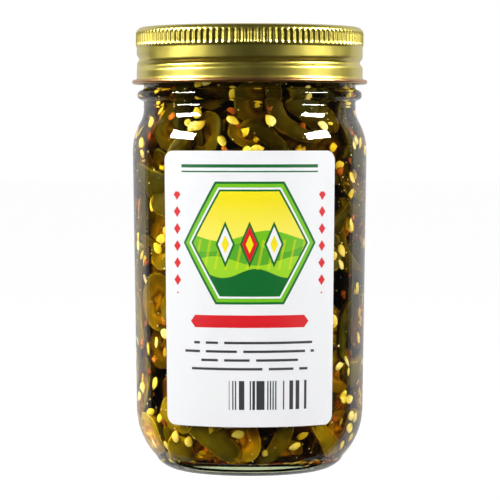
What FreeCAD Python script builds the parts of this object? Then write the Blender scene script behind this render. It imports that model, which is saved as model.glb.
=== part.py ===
"""A screw-top glass preserving jar of candied jalapenos, standing upright.

Frame: millimetres, +Z up, origin on the axis at the foot, the label facing -Y.
The jar is a turned glass shell with a foot ring, a rounded heel, a body that
narrows a little downwards, a sloped shoulder, a neck bead and a threaded finish.
A one-piece tinplate lid with a fluted corner, a rolled thread and an outward curl
sits on its rim, a paper label is wrapped round its front, and the preserve fills
it to just under the rim.
"""

import math
import os

import FreeCAD
import Part

Vector = FreeCAD.Vector
AXIS = Vector(0, 0, 1)
ORIGIN = Vector(0, 0, 0)

# Jar body
BODY_R = 36.75  # widest radius, at the top of the body
BODY_TAPER = 1.14  # how much narrower the body is above the heel
HEEL_R = 22.0  # radius of the rounded heel's section
HEEL_Z = 19.6  # height of the heel's centre
FOOT_TOP = 3.1  # height of the foot ring's upper edge
FOOT_SEAM = 1.3  # height of the step between the foot ring and the heel
FOOT_SECTION_R = 10.5  # radius of the foot ring's section
BEARING_INSET = 15.4  # from the body's widest radius in to the ring the jar stands on
BEARING_WIDTH = 3.5  # width of that ring
PUSH_UP = 2.2  # rise of the hollow under the base

# Shoulder, neck and finish
RIM_Z = 138.5  # height of the sealing rim
SHOULDER_DROP = 38.6  # from the rim down to where the shoulder starts to turn in
SHOULDER_R = 19.2  # section radius of the shoulder's outward bend
NECK_INSET = 3.5  # from the body's widest radius in to the neck
NECK_SWEEP_R = 8.8  # section radius of the bend into the neck
PARTING_GAP = 0.15  # from that bend up to the ridge that the parting line leaves
PARTING_HALF = 0.4  # half the height of that ridge
PARTING_OUT = 0.1  # how far it stands out
BEAD_DROP = 20.9  # from the rim down to the neck bead's middle
BEAD_R = 1.6  # section radius of the neck bead
BEAD_OUT = 0.45  # how far the middle of its section stands out from the neck
BEAD_FILLET = 0.9  # fillet between the bead and the neck
RIM_ROUND = 1.1  # rounding on both edges of the rim

# Glass thickness
WALL = 2.6  # body wall
NECK_WALL = 3.1  # wall of the neck
MOUTH_SWEEP_R = 12.0  # section radius of the inside bend into the neck
FLOOR_Z = 4.6  # inside floor at its edge
FLOOR_RISE = 1.6  # rise of the inside floor at its middle
FLOOR_FILLET = 3.0  # fillet between the inside floor and the heel

# Thread, shared by the glass and the lid
THREAD_PITCH = 2.2  # rise for each full turn
THREAD_DROP = 11.4  # from the rim down to the lid's rolled groove at the front
THREAD_START = -100.0  # degrees round from the front to where the groove fades in
THREAD_END = 310.0  # degrees to where it fades out
THREAD_FADE = 50.0  # degrees over which each end runs out of the metal
GROOVE_HALF = 1.7  # half the height of the rolled groove
GROOVE_DEPTH = 0.9  # depth of the groove
GLASS_THREAD_HALF = 1.4  # half the height of the glass thread
GLASS_THREAD_OUT = 1.1  # how far the glass thread stands out
GLASS_THREAD_RISE = 2.2  # height of the glass thread above the groove that holds it
BAND_IN = 0.06  # how far a threaded band is drawn in from the plain wall next to it

# Lid
LID_CLEARANCE = 0.85  # between the glass thread and the inside of the skirt
LID_WALL = 0.3  # metal thickness
KNURL_OUT = 0.25  # how far the fluted band stands out from the skirt
KNURL_LOW = 5.9  # depth of the fluted band's lower edge under the lid's top
KNURL_STEP = 0.4  # height over which the band runs into the skirt
LID_CORNER_R = 2.2  # rounding of the lid's top edge
PANEL_DROP = 0.5  # depth of the recessed top panel
PANEL_CLEARANCE = 0.6  # between the recessed panel's slope and the mouth
PANEL_SLOPE = 1.0  # width of the slope round that panel
FLUTE_PITCH = 1.94  # from one flute to the next round the band
FLUTE_R = 0.86  # section radius of each flute
FLUTE_DEPTH = 0.35
FLUTE_TOP = 1.5  # depth of the flutes' upper ends under the lid's top
CURL_OUT = 1.45  # how far the rolled edge stands out from the skirt
CURL_R = 0.7  # rounding of the rolled edge
CURL_DROP = 16.8  # from the rim down to the rolled edge's middle

# Label
LABEL_UNDER_HEEL = 3.1  # how far the label reaches below the heel's centre
LABEL_OVER_SHOULDER = 0.4  # how far it reaches above the start of the shoulder
LABEL_WIDTH = 57.4  # measured round the glass
LABEL_CORNER_R = 3.2
LABEL_THICK = 0.15

# Preserve
FILL_DROP = 4.0  # from the rim down to the level of the syrup

# Places that follow from these sizes
NECK_R = BODY_R - NECK_INSET
MOUTH_R = NECK_R - NECK_WALL
BEARING_OUT = BODY_R - BEARING_INSET
BEARING_IN = BEARING_OUT - BEARING_WIDTH
SHOULDER_Z = RIM_Z - SHOULDER_DROP
BEAD_Z = RIM_Z - BEAD_DROP
THREAD_FRONT_Z = RIM_Z - THREAD_DROP
SKIRT_R = NECK_R + GLASS_THREAD_OUT + LID_CLEARANCE + LID_WALL
KNURL_R = SKIRT_R + KNURL_OUT
PANEL_R = MOUTH_R - PANEL_CLEARANCE - PANEL_SLOPE
CURL_Z = RIM_Z - CURL_DROP
LABEL_LOW = HEEL_Z - LABEL_UNDER_HEEL
LABEL_HIGH = SHOULDER_Z + LABEL_OVER_SHOULDER
FILL_Z = RIM_Z - FILL_DROP


def at(radius, height):
    """A point of a turned profile."""
    return Vector(radius, 0, height)


def line(start, end):
    return Part.LineSegment(at(*start), at(*end)).toShape()


def arc(centre, radius, low, high):
    """An arc of a profile about centre, from angle low to angle high, in radians."""
    angles = (low, (low + high) / 2, high)
    points = [on_circle(centre, radius, a) for a in angles]
    return Part.Arc(*[at(*p) for p in points]).toShape()


def on_circle(centre, radius, angle):
    return (
        centre[0] + radius * math.cos(angle),
        centre[1] + radius * math.sin(angle),
    )


def angle_at_height(centre, radius, height):
    return math.asin((height - centre[1]) / radius)


def outer_tangent_angle(low, low_r, high, high_r):
    """Angle of the outward normal of the line that touches both section circles."""
    across, up = high[0] - low[0], high[1] - low[1]
    return math.asin((low_r - high_r) / math.hypot(across, up)) - math.atan2(across, up)


def turned(edges):
    """The solid turned about Z from a closed profile."""
    wire = Part.Wire(Part.__sortEdges__(edges))
    return Part.Face(wire).revolve(ORIGIN, AXIS, 360)


def heel_centre():
    return (BODY_R - BODY_TAPER - HEEL_R, HEEL_Z)


def shoulder_centre():
    return (BODY_R - SHOULDER_R, SHOULDER_Z)


def neck_sweep(shoulder_section, sweep, neck):
    """Centre of the bend that leads from the shoulder's section circle up into a neck."""
    centre = shoulder_centre()
    across = neck + sweep - centre[0]
    up = math.sqrt((shoulder_section + sweep) ** 2 - across**2)
    return (neck + sweep, centre[1] + up)


def side_profile(offset, neck, sweep, low_angle):
    """Heel, body and shoulder up into a neck, offset outwards. Returns edges and the top point."""
    heel_r = HEEL_R + offset
    shoulder_r = SHOULDER_R + offset
    heel, shoulder = heel_centre(), shoulder_centre()
    side = outer_tangent_angle(heel, heel_r, shoulder, shoulder_r)
    bend = neck_sweep(shoulder_r, sweep, neck)
    inflection = math.atan2(bend[1] - shoulder[1], bend[0] - shoulder[0])
    edges = [
        arc(heel, heel_r, low_angle, side),
        line(
            on_circle(heel, heel_r, side),
            on_circle(shoulder, shoulder_r, side),
        ),
        arc(shoulder, shoulder_r, side, inflection),
        arc(bend, sweep, math.pi + inflection, math.pi),
    ]
    return edges, (neck, bend[1])


def dome(edge_radius, edge_z, rise):
    """A shallow arc from a circle of edge_radius up to the axis."""
    radius = (edge_radius**2 + rise**2) / (2 * rise)
    centre = (0, edge_z + rise - radius)
    low = math.acos(edge_radius / radius)
    return arc(centre, radius, low, math.pi / 2)


def outside_profile(offset):
    """Outside of the glass from the axis under the base to the top of the neck bend."""
    foot = (BEARING_OUT, FOOT_SECTION_R)
    foot_r = FOOT_SECTION_R + offset
    foot_top = angle_at_height(foot, foot_r, FOOT_TOP)
    heel_low = angle_at_height(heel_centre(), HEEL_R + offset, FOOT_TOP + FOOT_SEAM)
    side, top = side_profile(offset, NECK_R + offset, NECK_SWEEP_R - offset, heel_low)
    edges = [
        dome(BEARING_IN, -offset, PUSH_UP),
        line((BEARING_IN, -offset), (BEARING_OUT, -offset)),
        arc(foot, foot_r, -math.pi / 2, foot_top),
        line(
            on_circle(foot, foot_r, foot_top),
            on_circle(heel_centre(), HEEL_R + offset, heel_low),
        ),
    ]
    return edges + side, top


def inside_profile():
    """Inside of the glass from the axis at the floor to the top of the neck bend."""
    heel, heel_r = heel_centre(), HEEL_R - WALL
    fillet_z = FLOOR_Z + FLOOR_FILLET
    reach = heel_r - FLOOR_FILLET
    fillet = (
        heel[0] + math.sqrt(reach**2 - (heel[1] - fillet_z) ** 2),
        fillet_z,
    )
    heel_low = math.atan2(fillet[1] - heel[1], fillet[0] - heel[0])
    side, top = side_profile(-WALL, MOUTH_R, MOUTH_SWEEP_R, heel_low)
    edges = [
        dome(fillet[0], FLOOR_Z, FLOOR_RISE),
        arc(fillet, FLOOR_FILLET, -math.pi / 2, heel_low),
    ]
    return edges + side, top


def parting_profile(start):
    """The low ridge of the parting line, just above start. Returns edges and the top point."""
    radius = (PARTING_HALF**2 + PARTING_OUT**2) / (2 * PARTING_OUT)
    middle = start[1] + PARTING_GAP + PARTING_HALF
    centre = (NECK_R + PARTING_OUT - radius, middle)
    turn = math.asin(PARTING_HALF / radius)
    edges = [
        line(start, (NECK_R, middle - PARTING_HALF)),
        arc(centre, radius, -turn, turn),
    ]
    return edges, (NECK_R, middle + PARTING_HALF)


def bead_profile(start):
    """The neck from start, over the bead with its two fillets, up to the rim's rounding."""
    ridge, start = parting_profile(start)
    across = BEAD_FILLET - BEAD_OUT
    reach = math.sqrt((BEAD_R + BEAD_FILLET) ** 2 - across**2)
    bead = (NECK_R + BEAD_OUT, BEAD_Z)
    turn = math.atan2(reach, across)
    below = (NECK_R + BEAD_FILLET, BEAD_Z - reach)
    above = (NECK_R + BEAD_FILLET, BEAD_Z + reach)
    return [
        *ridge,
        line(start, (NECK_R, below[1])),
        arc(below, BEAD_FILLET, math.pi, math.pi - turn),
        arc(bead, BEAD_R, -turn, turn),
        arc(above, BEAD_FILLET, math.pi + turn, math.pi),
        line((NECK_R, above[1]), (NECK_R, RIM_Z - RIM_ROUND)),
    ]


def rim_profile(inside_top):
    """Over the rounded rim and down the mouth to the inside of the neck bend."""
    outer = (NECK_R - RIM_ROUND, RIM_Z - RIM_ROUND)
    inner = (MOUTH_R + RIM_ROUND, RIM_Z - RIM_ROUND)
    return [
        arc(outer, RIM_ROUND, 0, math.pi / 2),
        line((outer[0], RIM_Z), (inner[0], RIM_Z)),
        arc(inner, RIM_ROUND, math.pi / 2, math.pi),
        line((MOUTH_R, inner[1]), inside_top),
    ]


def thread_height(degrees):
    """Height of the lid's groove at an angle round from the front."""
    return THREAD_FRONT_Z + THREAD_PITCH * degrees / 360


def strength(degrees):
    """1 along the thread, falling smoothly to 0 at and beyond its two ends."""
    inside = min(degrees - THREAD_START, THREAD_END - degrees)
    share = min(1.0, max(0.0, inside / THREAD_FADE))
    return share * share * (3 - 2 * share)


def relief(degrees, height, lift, half):
    """Share of the thread's full relief at an angle and a height, over both turns of it."""
    share = 0.0
    for turn in (-360, 0, 360):
        reach = (height - lift - thread_height(degrees + turn)) / half
        if abs(reach) < 1:
            swell = math.cos(reach * math.pi / 2) ** 2
            share = max(share, strength(degrees + turn) * swell)
    return share


def band_ends(lift, half):
    """Lower and upper end of the band that carries a thread."""
    low = thread_height(THREAD_START) + lift - half
    high = thread_height(THREAD_END) + lift + half
    return low, high


def band_section(radius, out, height, lift, half):
    """The closed outline of a threaded band at a height."""
    steps = 72
    points = []
    for i in range(steps):
        degrees = 360.0 * i / steps
        reach = radius + out * relief(degrees, height, lift, half)
        angle = math.radians(degrees - 90)
        points.append(Vector(reach * math.cos(angle), reach * math.sin(angle), height))
    outline = Part.BSplineCurve()
    outline.interpolate(Points=points, PeriodicFlag=True)
    return Part.Wire(outline.toShape())


def threaded_plug(radius, out, lift, half):
    """A plug whose side carries the thread, standing out or, with out below 0, pressed in."""
    low, high = band_ends(lift, half)
    steps = math.ceil((high - low) / half * 4)
    heights = [low + (high - low) * i / steps for i in range(steps + 1)]
    return Part.makeLoft([band_section(radius, out, z, lift, half) for z in heights], True)


def make_jar():
    """The turned glass with the thread wound round its finish."""
    outside, neck = outside_profile(0)
    inside, mouth = inside_profile()
    axis = line((0, PUSH_UP), (0, FLOOR_Z + FLOOR_RISE))
    glass = turned(outside + bead_profile(neck) + rim_profile(mouth) + inside + [axis])
    lift, half = GLASS_THREAD_RISE, GLASS_THREAD_HALF
    low, high = band_ends(lift, half)
    place = Vector(0, 0, low)
    gap = Part.makeCylinder(2 * NECK_R, high - low, place, AXIS)
    mouth_core = Part.makeCylinder(MOUTH_R, high - low, place, AXIS)
    band = threaded_plug(NECK_R - BAND_IN, GLASS_THREAD_OUT, lift, half).cut(mouth_core)
    return glass.cut(gap).fuse(band)


def make_preserve():
    inside, mouth = inside_profile()
    top = [
        line(mouth, (MOUTH_R, FILL_Z)),
        line((MOUTH_R, FILL_Z), (0, FILL_Z)),
        line((0, FILL_Z), (0, FLOOR_Z + FLOOR_RISE)),
    ]
    return turned(inside + top)


def make_label():
    """The paper between the glass and a skin just outside it, cut to a rounded rectangle."""
    half = LABEL_WIDTH / 2 / BODY_R
    reach = 2 * BODY_R

    def filled(offset):
        edges, neck = outside_profile(offset)
        top = [
            line(neck, (0, neck[1])),
            line((0, neck[1]), (0, PUSH_UP - offset)),
        ]
        return turned(edges + top)

    corners = [
        ORIGIN,
        Vector(-reach * math.sin(half), -reach * math.cos(half), 0),
        Vector(reach * math.sin(half), -reach * math.cos(half), 0),
    ]
    wedge = Part.Face(Part.makePolygon(corners + corners[:1]))
    wedge.translate(Vector(0, 0, LABEL_LOW))
    wedge = wedge.extrude(Vector(0, 0, LABEL_HIGH - LABEL_LOW))
    paper = filled(LABEL_THICK).common(wedge).cut(filled(0))
    return paper.cut(corner_waste(math.degrees(half)))


def corner_waste(half_degrees):
    """What is cut off the label's four corners to round them."""
    size = 2 * LABEL_CORNER_R
    waste = []
    for side in (-1, 1):
        for edge, inward in ((LABEL_LOW, 1), (LABEL_HIGH, -1)):
            block = Part.makeBox(BODY_R, size, size, Vector(0, -size / 2, edge - size / 2))
            disc_at = Vector(0, -side * LABEL_CORNER_R, edge + inward * LABEL_CORNER_R)
            disc = Part.makeCylinder(LABEL_CORNER_R, 2 * BODY_R, disc_at, Vector(1, 0, 0))
            block.translate(Vector(BODY_R / 2, 0, 0))
            piece = block.cut(disc)
            piece.rotate(ORIGIN, AXIS, side * half_degrees - 90)
            waste.append(piece)
    return waste


def threaded_band():
    """The thin band of the skirt that carries the rolled groove."""
    radius = SKIRT_R - BAND_IN
    outer = threaded_plug(radius, -GROOVE_DEPTH, 0, GROOVE_HALF)
    inner = threaded_plug(radius - LID_WALL, -GROOVE_DEPTH, 0, GROOVE_HALF)
    return outer.cut(inner)


def lid_crown():
    """The panel, the corner, the fluted band and the skirt down to the threaded band."""
    top = RIM_Z + LID_WALL
    low = band_ends(0, GROOVE_HALF)[1]
    knurl_low = top - KNURL_LOW
    inner = SKIRT_R - LID_WALL
    slope_out = PANEL_R + PANEL_SLOPE
    outer_corner = (KNURL_R - LID_CORNER_R, top - LID_CORNER_R)
    inner_r = LID_CORNER_R / 2
    inner_corner = (inner - inner_r, RIM_Z - inner_r)
    edges = [
        line((0, top - PANEL_DROP), (PANEL_R, top - PANEL_DROP)),
        line((PANEL_R, top - PANEL_DROP), (slope_out, top)),
        line((slope_out, top), (outer_corner[0], top)),
        arc(outer_corner, LID_CORNER_R, 0, math.pi / 2),
        line((KNURL_R, outer_corner[1]), (KNURL_R, knurl_low)),
        line((KNURL_R, knurl_low), (SKIRT_R, knurl_low - KNURL_STEP)),
        line((SKIRT_R, knurl_low - KNURL_STEP), (SKIRT_R, low)),
        line((SKIRT_R, low), (inner, low)),
        line((inner, low), (inner, inner_corner[1])),
        arc(inner_corner, inner_r, 0, math.pi / 2),
        line((inner_corner[0], RIM_Z), (slope_out, RIM_Z)),
        line((slope_out, RIM_Z), (PANEL_R, RIM_Z - PANEL_DROP)),
        line((PANEL_R, RIM_Z - PANEL_DROP), (0, RIM_Z - PANEL_DROP)),
        line((0, RIM_Z - PANEL_DROP), (0, top - PANEL_DROP)),
    ]
    return turned(edges)


def flutes():
    """The ring of round-ended flutes pressed into the lid's edge."""
    top = RIM_Z + LID_WALL
    high = top - FLUTE_TOP - FLUTE_R
    low = top - KNURL_LOW + FLUTE_R
    quarter = math.pi / 2
    profile = [
        arc((0, low), FLUTE_R, -quarter, 0),
        line((FLUTE_R, low), (FLUTE_R, high)),
        arc((0, high), FLUTE_R, 0, quarter),
        line((0, high + FLUTE_R), (0, low - FLUTE_R)),
    ]
    capsule = turned(profile)
    capsule.translate(Vector(KNURL_R + FLUTE_R - FLUTE_DEPTH, 0, 0))
    ring = []
    count = round(2 * math.pi * KNURL_R / FLUTE_PITCH)
    for i in range(count):
        copy = capsule.copy()
        copy.rotate(ORIGIN, AXIS, 360.0 * i / count)
        ring.append(copy)
    return ring


def lid_hem():
    """The skirt under the threaded band with its outward rolled edge."""
    top = band_ends(0, GROOVE_HALF)[0]
    inner = SKIRT_R - LID_WALL
    curl = (SKIRT_R + CURL_OUT - CURL_R, CURL_Z)
    upper, lower = CURL_Z + CURL_R, CURL_Z - CURL_R
    edges = [
        line((inner, top), (SKIRT_R, top)),
        line((SKIRT_R, top), (SKIRT_R, upper)),
        line((SKIRT_R, upper), (curl[0], upper)),
        arc(curl, CURL_R, -math.pi / 2, math.pi / 2),
        line((curl[0], lower), (inner, lower)),
        line((inner, lower), (inner, top)),
    ]
    return turned(edges)


def make_lid():
    return lid_crown().cut(flutes()).fuse([threaded_band(), lid_hem()])


def main():
    os.makedirs("parts", exist_ok=True)
    nodes = {
        "jar": make_jar(),
        "lid": make_lid(),
        "label": make_label(),
        "preserve": make_preserve(),
    }
    for name, shape in nodes.items():
        solids = shape.Solids
        assert len(solids) == 1 and solids[0].isValid(), name
        solids[0].exportStep(f"parts/{name}.step")
        print(name, round(solids[0].Volume / 1000, 2), "ml", len(solids[0].Faces), "faces")


main()
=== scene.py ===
"""A screw-top glass jar of candied green chillies, with its gold lid and its paper label.

Blender add-on layout: every group of pieces has its own operator, and main() calls them in
order. Lengths are in metres, Z is up, and the label faces -Y. The turned shapes repeat the
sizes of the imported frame, so that each piece lies where its node does.
"""

import math
import random
from types import SimpleNamespace

import bmesh
import bpy
from mathutils import Matrix, Vector, noise


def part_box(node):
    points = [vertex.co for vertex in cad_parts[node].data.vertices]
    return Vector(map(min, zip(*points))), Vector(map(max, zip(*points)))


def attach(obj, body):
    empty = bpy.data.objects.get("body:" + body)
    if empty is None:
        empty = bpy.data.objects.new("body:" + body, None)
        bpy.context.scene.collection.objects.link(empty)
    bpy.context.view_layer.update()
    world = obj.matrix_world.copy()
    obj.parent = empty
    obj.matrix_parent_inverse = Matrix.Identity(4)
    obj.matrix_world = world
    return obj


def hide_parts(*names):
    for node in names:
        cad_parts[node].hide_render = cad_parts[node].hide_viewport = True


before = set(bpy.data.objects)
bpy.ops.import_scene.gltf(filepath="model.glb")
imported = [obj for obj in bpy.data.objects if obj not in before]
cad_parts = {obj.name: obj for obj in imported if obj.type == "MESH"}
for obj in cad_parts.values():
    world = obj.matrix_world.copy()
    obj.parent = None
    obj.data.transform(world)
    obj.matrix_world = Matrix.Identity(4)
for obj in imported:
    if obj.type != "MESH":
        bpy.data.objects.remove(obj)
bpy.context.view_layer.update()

bl_info = {
    "name": "Candied chilli jar",
    "version": (1, 0, 0),
    "blender": (4, 5, 0),
    "location": "View3D > Sidebar > Jar",
    "description": "Builds a preserving jar of candied chilli slices, piece by piece",
    "category": "Object",
}

MM = 0.001
TURN = 2 * math.pi
BODY = "root"

# Sizes read from the frame
JAR_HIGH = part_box("jar")[1]
LID_LOW, LID_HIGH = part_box("lid")
LABEL_BOX_LOW, LABEL_BOX_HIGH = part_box("label")
FILL_LOW, FILL_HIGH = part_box("preserve")
BODY_R = JAR_HIGH.x
RIM_Z = JAR_HIGH.z
WALL = BODY_R - FILL_HIGH.x
LID_TOP = LID_HIGH.z
CURL_OUT_R = LID_HIGH.x
LABEL_HALF_ANGLE = math.asin(LABEL_BOX_HIGH.x / BODY_R)
LABEL_LOW = LABEL_BOX_LOW.z
LABEL_HIGH = LABEL_BOX_HIGH.z
FILL_Z = FILL_HIGH.z

# Jar body and foot
BODY_TAPER = 1.14 * MM
HEEL_R = 22.0 * MM
HEEL_Z = 19.6 * MM
FOOT_TOP = 3.1 * MM
FOOT_SEAM = 1.3 * MM
FOOT_SECTION_R = 10.5 * MM
BEARING_OUT = BODY_R - 15.4 * MM
BEARING_IN = BEARING_OUT - 3.5 * MM
PUSH_UP = 2.2 * MM

# Shoulder, neck and finish
SHOULDER_Z = RIM_Z - 38.6 * MM
SHOULDER_R = 19.2 * MM
NECK_R = BODY_R - 3.5 * MM
NECK_SWEEP_R = 8.8 * MM
PARTING_GAP = 0.15 * MM
PARTING_HALF = 0.4 * MM
PARTING_OUT = 0.1 * MM
MOUTH_R = NECK_R - 3.1 * MM
MOUTH_SWEEP_R = 12.0 * MM
BEAD_Z = RIM_Z - 20.9 * MM
BEAD_R = 1.6 * MM
BEAD_OUT = 0.45 * MM
BEAD_FILLET = 0.9 * MM
RIM_ROUND = 1.1 * MM
FLOOR_Z = FILL_LOW.z
FLOOR_RISE = 1.6 * MM
FLOOR_FILLET = 3.0 * MM

# Lid
LID_WALL = 0.3 * MM
SKIRT_R = NECK_R + 2.25 * MM
KNURL_R = SKIRT_R + 0.25 * MM
KNURL_LOW = LID_TOP - 5.9 * MM
KNURL_STEP = 0.4 * MM
LID_CORNER_R = 2.2 * MM
PANEL_DROP = 0.5 * MM
PANEL_SLOPE = 1.0 * MM
PANEL_R = MOUTH_R - 1.6 * MM
CURL_R = 0.7 * MM
CURL_Z = LID_LOW.z + CURL_R
FLUTE_PITCH = 1.94 * MM
FLUTE_DEPTH = 0.42 * MM
FLUTE_LOW = KNURL_LOW + 0.1 * MM
FLUTE_HIGH = LID_TOP - 1.5 * MM
GROOVE_Z = RIM_Z - 11.4 * MM
GROOVE_PITCH = 2.2 * MM
GROOVE_HALF = 1.7 * MM
GROOVE_DEPTH = 0.9 * MM
GROOVE_START = -100.0
GROOVE_END = 310.0
GROOVE_FADE = 50.0

# Label
LABEL_CORNER_R = 3.2 * MM
LABEL_COLUMNS = 60
LABEL_ROWS = 24

# Print on the label, laid out in millimetres from the middle of the sheet
WHITE = (0.90, 0.905, 0.92)
GREEN = (0.005, 0.150, 0.025)
LEAF = (0.18, 0.55, 0.012)
YELLOW = (0.95, 0.80, 0.010)
RED = (0.72, 0.012, 0.018)
INK = (0.05, 0.05, 0.055)
WINDOW_UP = 14.0
WINDOW_FRAMES = ((18.6, GREEN), (17.9, LEAF), (16.8, WHITE), (16.2, GREEN))
PICTURE_SIZE = 15.6
RIDGES = (  # height, waves for each millimetre in radians, start of the wave, colour
    (-1.4, 0.27, 2.0, (0.10, 0.42, 0.02)),
    (-5.4, 0.24, 4.2, (0.35, 0.70, 0.02)),
    (-9.2, 0.31, 1.0, GREEN),
)
LOZENGES = ((-7.5, WHITE), (0.0, RED), (7.5, WHITE))
BEAD_COLUMN = 23.8
BEAD_PITCH = 5.2
RIBBON_DOWN = 9.8
WORDS_LOW = -24.6
WORDS_HIGH = -14.0
WORD_PITCH = 2.65
TICK_WIDTH = 0.42

# Preserve
KIND_R = 10.0 * MM  # radius at which the kinds of slice are modelled
STRIP_R = 6.4 * MM  # room that a strip takes on the wall
INTO_WALL = 0.15 * MM  # how far the syrup reaches into the glass
CORE_DEPTH = 12.0 * MM  # from the glass in to the dark middle
STRIP_TRIES = 2500
SLICE_TRIES = 1100
DEEPEST_SLICE = 9.0 * MM  # a slice that would lie deeper than this is left out

# Stage
LAMP_DISTANCE = 0.9
LAMP_TARGET = Vector((0, 0, 0.09))


# ---------------- settings


def count(name, default, description):
    return bpy.props.IntProperty(name=name, default=default, description=description)


def number(name, default, description, **more):
    return bpy.props.FloatProperty(name=name, default=default, description=description, **more)


def length(name, default, description):
    return number(name, default, description, unit="LENGTH")


def tint(name, default, description):
    return bpy.props.FloatVectorProperty(
        name=name, default=default, description=description, subtype="COLOR",
    )


class JarSettings(bpy.types.PropertyGroup):
    """Sizes and finish of the glass, the lid and the label."""

    round_steps: count("Steps round", 160, "Steps in each turned piece of glass")
    glass_tint: tint("Glass tint", (0.98, 0.985, 0.975), "Colour the glass lets through")
    lid_gold: tint("Lid gold", (0.80, 0.67, 0.12), "Colour of the lacquered lid")
    curl_copper: tint("Curl copper", (0.60, 0.30, 0.10), "Colour of the lid's rolled edge")
    paper_thick: length("Paper", 0.12 * MM, "Thickness of the label")


class PreserveSettings(bpy.types.PropertyGroup):
    """What fills the jar."""

    slices: count("Slices", 330, "Most pieces of chilli, strips included")
    strips: count("Strips", 88, "Curved strips of chilli against the glass")
    slice_r: length("Slice radius", 8.4 * MM, "Mean radius of a slice")
    slice_thick: length("Slice thickness", 3.9 * MM, "Mean thickness of a slice")
    loose_seeds: count("Loose seeds", 320, "Seeds between the slices")
    flakes: count("Flakes", 220, "Red and brown chilli flakes")
    crumbs: count("Crumbs", 700, "Small pale crumbs")
    syrup_tint: tint("Syrup tint", (0.935, 0.875, 0.12), "Colour the syrup lets through")
    syrup_density: number("Syrup density", 600.0, "How strongly it colours light, per metre")


class StageSettings(bpy.types.PropertyGroup):
    """Camera and lamps."""

    camera_distance: length("Distance", 0.873, "From the jar's axis to the camera")
    camera_height: length("Height", 0.1035, "Height of the camera")
    camera_pitch: number(
        "Pitch", math.radians(2.27), "How far the camera looks down", subtype="ANGLE",
    )
    lens: number("Lens", 199.6, "Focal length in millimetres")
    gleam_power: number("Gleam lamps", 15.0, "Power of the softboxes seen as highlights")
    key_power: number("Key lamps", 7.1, "Power of the softboxes that light matt surfaces")


# ---------------- shader nodes


def math_node(operation, swapped=False):
    """A method of Value that gives the result of a Math node."""

    def method(self, *others):
        numbers = (*others, self) if swapped else (self, *others)
        inputs = dict(enumerate(numbers))
        made = self.shader.node("ShaderNodeMath", {"operation": operation}, inputs)
        return Value(self.shader, made.outputs[0])

    return method


class Value:
    """A number socket of a shader. Arithmetic on it adds Math nodes."""

    __add__ = math_node("ADD")
    __radd__ = math_node("ADD", swapped=True)
    __sub__ = math_node("SUBTRACT")
    __rsub__ = math_node("SUBTRACT", swapped=True)
    __mul__ = math_node("MULTIPLY")
    __rmul__ = math_node("MULTIPLY", swapped=True)
    __pow__ = math_node("POWER")
    __abs__ = math_node("ABSOLUTE")
    __gt__ = math_node("GREATER_THAN")
    __lt__ = math_node("LESS_THAN")
    sine = math_node("SINE")
    floor = math_node("FLOOR")
    fraction = math_node("FRACT")
    least = math_node("MINIMUM")
    most = math_node("MAXIMUM")

    def __init__(self, shader, socket):
        self.shader = shader
        self.socket = socket

    def ramp(self, low, high, bottom=0.0, top=1.0):
        """Eases from bottom, where this value is low, to top, where it is high."""
        settings = {"interpolation_type": "SMOOTHSTEP"}
        inputs = {0: self, 1: low, 2: high, 3: bottom, 4: top}
        made = self.shader.node("ShaderNodeMapRange", settings, inputs)
        return Value(self.shader, made.outputs[0])


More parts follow.
